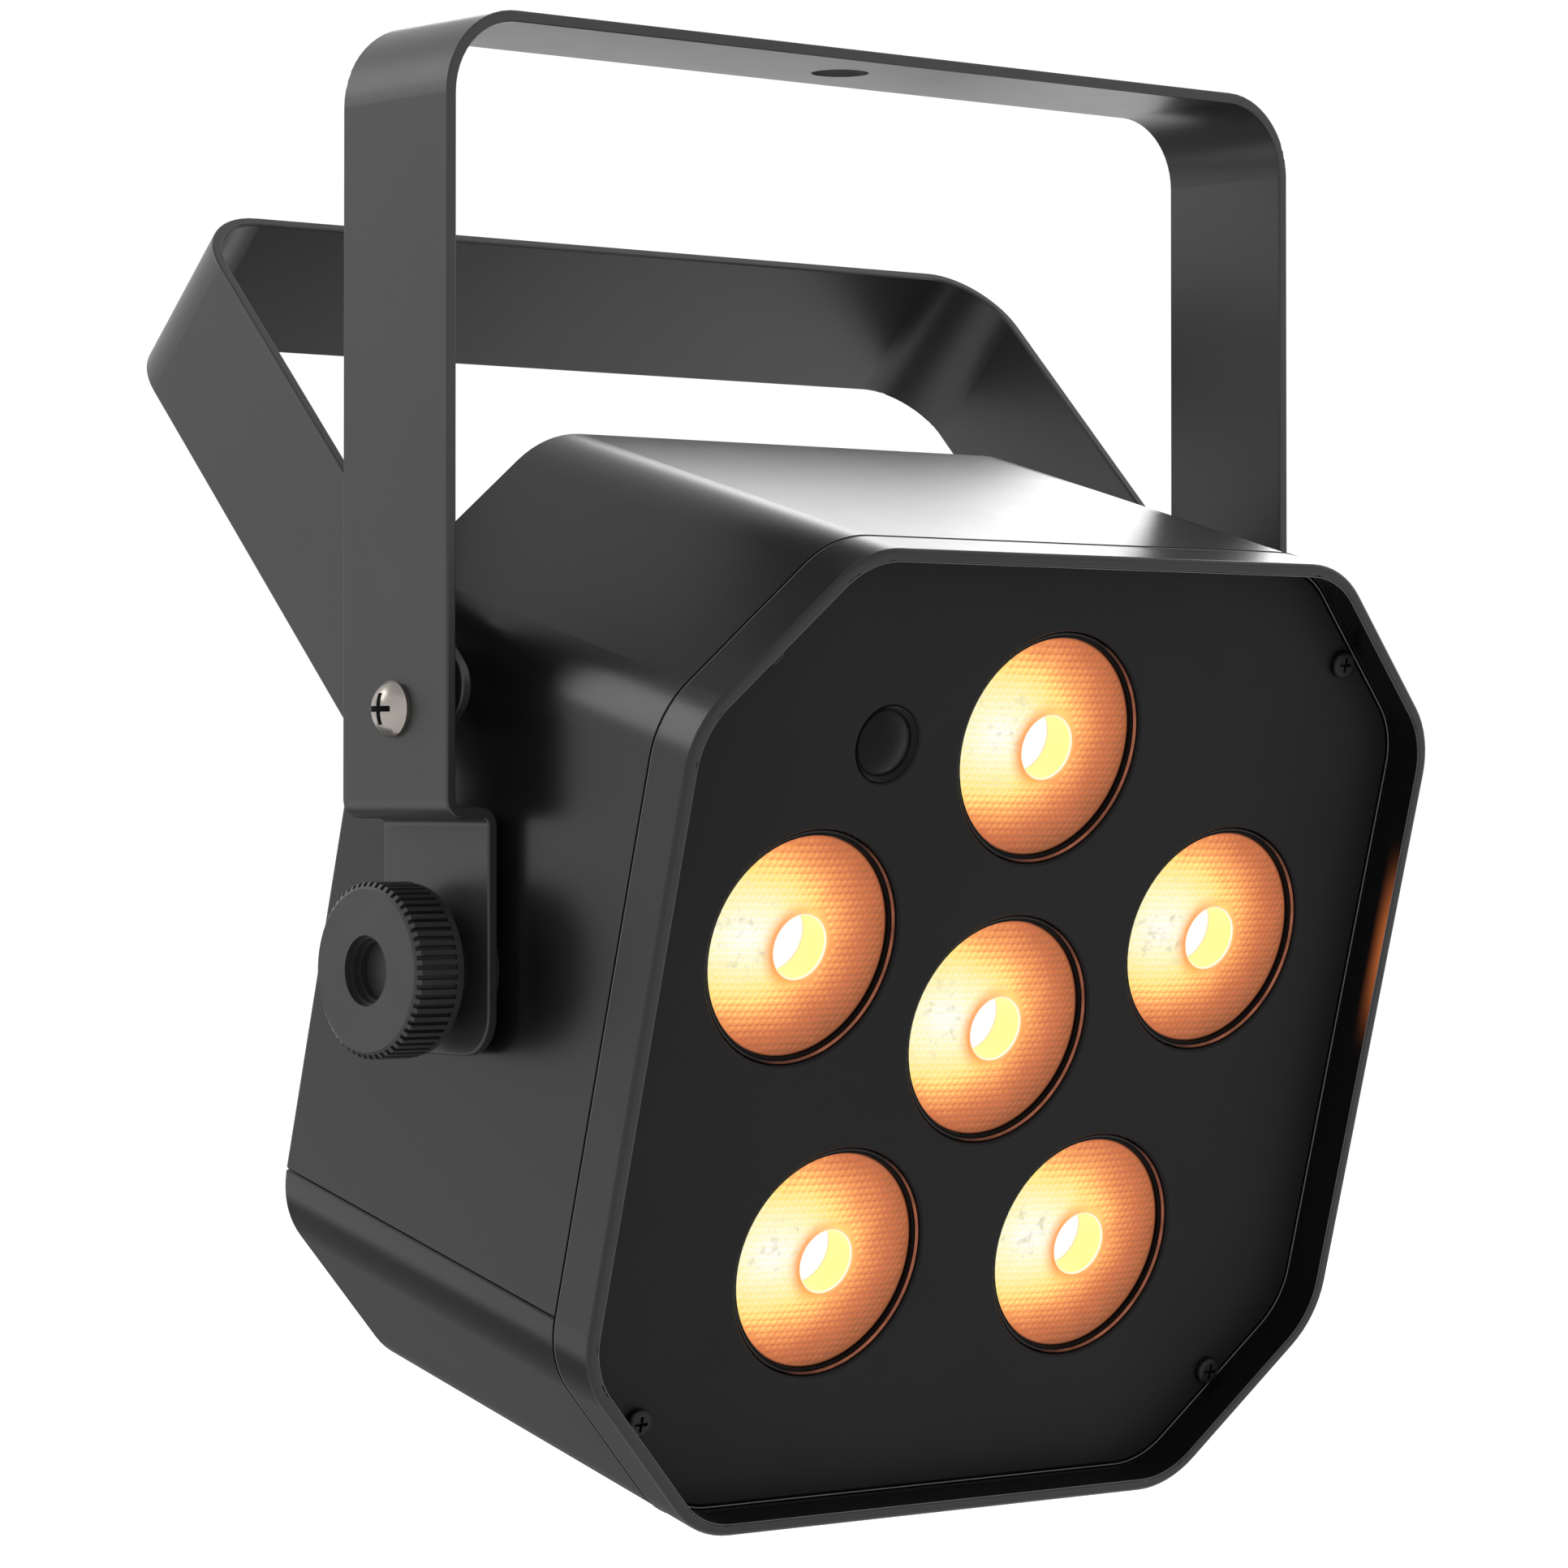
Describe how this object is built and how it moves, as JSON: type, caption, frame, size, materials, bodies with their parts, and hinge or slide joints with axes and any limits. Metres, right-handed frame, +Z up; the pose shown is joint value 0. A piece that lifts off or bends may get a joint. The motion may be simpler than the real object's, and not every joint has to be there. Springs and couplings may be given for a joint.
{
  "type": "par can light",
  "caption": "Compact LED par can light: an octagonal lamp head with bright lenses, tilting between the legs of a double yoke and locked by two side knobs.",
  "frame": {"origin": "centre of the clamp hole on the top surface of the front yoke's bar", "axes": "+Z up out of the clamp hole; -Y the way the beam leaves when level; +X along the yoke's bar"},
  "size_m": [0.2118, 0.1616, 0.2603],
  "materials": {
    "black_strip": "satin powder coat",
    "black_housing": "satin moulded black",
    "black_plate": "smooth satin black",
    "black_knob": "fine matt black",
    "black_moulding": "matt black",
    "lit_lens": "clear acrylic, lit warm",
    "dark_window": "polished dark",
    "plated_steel": "bright zinc plate",
    "dark_steel": "blackened",
    "brass": "turned",
    "nylon": "natural nylon",
    "rubber": "matt",
    "sink_aluminium": "plain extruded",
    "chassis_sheet": "plain sheet",
    "white_board": "white solder mask on metal core",
    "green_board": "solder mask",
    "led_package": "clear dome on white base",
    "cell_sleeve": "shrink sleeve",
    "can_component": "plain can",
    "display_glass": "gloss"
  },
  "bodies": {
    "front_yoke": {"front_yoke": "black_strip", "pivot_screws": "plated_steel", "pivot_washers": "nylon", "pivot_nuts": "plated_steel"},
    "rear_yoke": {"rear_yoke": "black_strip"},
    "head": {"upper_housing": "black_housing", "lower_housing": "black_housing", "front_bezel": "black_housing", "front_plate": "black_plate", "lens_1": "lit_lens", "lens_2": "lit_lens", "lens_3": "lit_lens", "lens_4": "lit_lens", "lens_5": "lit_lens", "lens_6": "lit_lens", "lens_holders": "black_moulding", "led_emitters": "led_package", "led_board": "white_board", "board_screws": "plated_steel", "heat_sink": "sink_aluminium", "front_screws": "dark_steel", "ir_window": "dark_window", "ir_receiver": "black_moulding", "chassis_posts": "plated_steel", "sink_screws": "plated_steel", "chassis_plate": "chassis_sheet", "battery_cells": "cell_sleeve", "battery_tray": "black_moulding", "board_spacers": "nylon", "driver_board": "green_board", "driver_inductors": "black_moulding", "driver_capacitors": "can_component", "wireless_module": "can_component", "rear_gasket": "rubber", "rear_panel": "black_housing", "rear_screws": "dark_steel", "rear_feet": "rubber", "display_window": "display_glass", "display_module": "black_moulding", "control_board": "green_board", "tactile_switches": "black_moulding", "power_inlet": "black_moulding", "inlet_pins": "brass", "switch_frame": "black_moulding", "left_friction_pad": "rubber", "right_friction_pad": "rubber", "left_bush": "brass", "right_bush": "brass"},
    "left_clamp": {"left_clamp_washer": "dark_steel"},
    "left_knob": {"left_knob": "black_knob", "left_stud": "plated_steel"},
    "right_clamp": {"right_clamp_washer": "dark_steel"},
    "right_knob": {"right_knob": "black_knob", "right_stud": "plated_steel"},
    "menu_button": {"menu_button": "black_knob"},
    "down_button": {"down_button": "black_knob"},
    "up_button": {"up_button": "black_knob"},
    "enter_button": {"enter_button": "black_knob"},
    "power_rocker": {"power_rocker": "black_knob"}
  },
  "joints": [
    {"name": "head_tilt", "type": "hinge", "parent": "front_yoke", "child": "head", "pos_m": [0, 0, -0.163], "axis": [1, 0, 0], "continuous": true},
    {"name": "rear_yoke_swing", "type": "hinge", "parent": "front_yoke", "child": "rear_yoke", "pos_m": [0, 0, -0.1187], "axis": [1, 0, 0], "range_deg": [-45, 44]},
    {"name": "left_clamp_slide", "type": "slide", "parent": "head", "child": "left_clamp", "axis": [-1, 0, 0], "range_m": [0, 0.0025]},
    {"name": "left_knob_turn", "type": "hinge", "parent": "left_clamp", "child": "left_knob", "pos_m": [0, 0, -0.163], "axis": [-1, 0, 0], "range_deg": [0, 720]},
    {"name": "right_clamp_slide", "type": "slide", "parent": "head", "child": "right_clamp", "axis": [1, 0, 0], "range_m": [0, 0.0025]},
    {"name": "right_knob_turn", "type": "hinge", "parent": "right_clamp", "child": "right_knob", "pos_m": [0, 0, -0.163], "axis": [1, 0, 0], "range_deg": [0, 720]},
    {"name": "menu_button_press", "type": "slide", "parent": "head", "child": "menu_button", "axis": [0, -0.9655, -0.2605], "range_m": [0, 0.0009], "stiffness_N_per_m": 400, "springref_m": -0.0004},
    {"name": "down_button_press", "type": "slide", "parent": "head", "child": "down_button", "axis": [0, -0.9655, -0.2605], "range_m": [0, 0.0009], "stiffness_N_per_m": 400, "springref_m": -0.0004},
    {"name": "up_button_press", "type": "slide", "parent": "head", "child": "up_button", "axis": [0, -0.9655, -0.2605], "range_m": [0, 0.0009], "stiffness_N_per_m": 400, "springref_m": -0.0004},
    {"name": "enter_button_press", "type": "slide", "parent": "head", "child": "enter_button", "axis": [0, -0.9655, -0.2605], "range_m": [0, 0.0009], "stiffness_N_per_m": 400, "springref_m": -0.0004},
    {"name": "power_rocker_tip", "type": "hinge", "parent": "head", "child": "power_rocker", "pos_m": [-0.034, 0.04549, -0.18801], "axis": [1, 0, 0], "range_deg": [0, 16]}
  ],
  "couplings": [
    {"joint": "left_knob_turn", "follows": "left_clamp_slide", "rad_per_m": 5026},
    {"joint": "right_knob_turn", "follows": "right_clamp_slide", "rad_per_m": 5026}
  ]
}
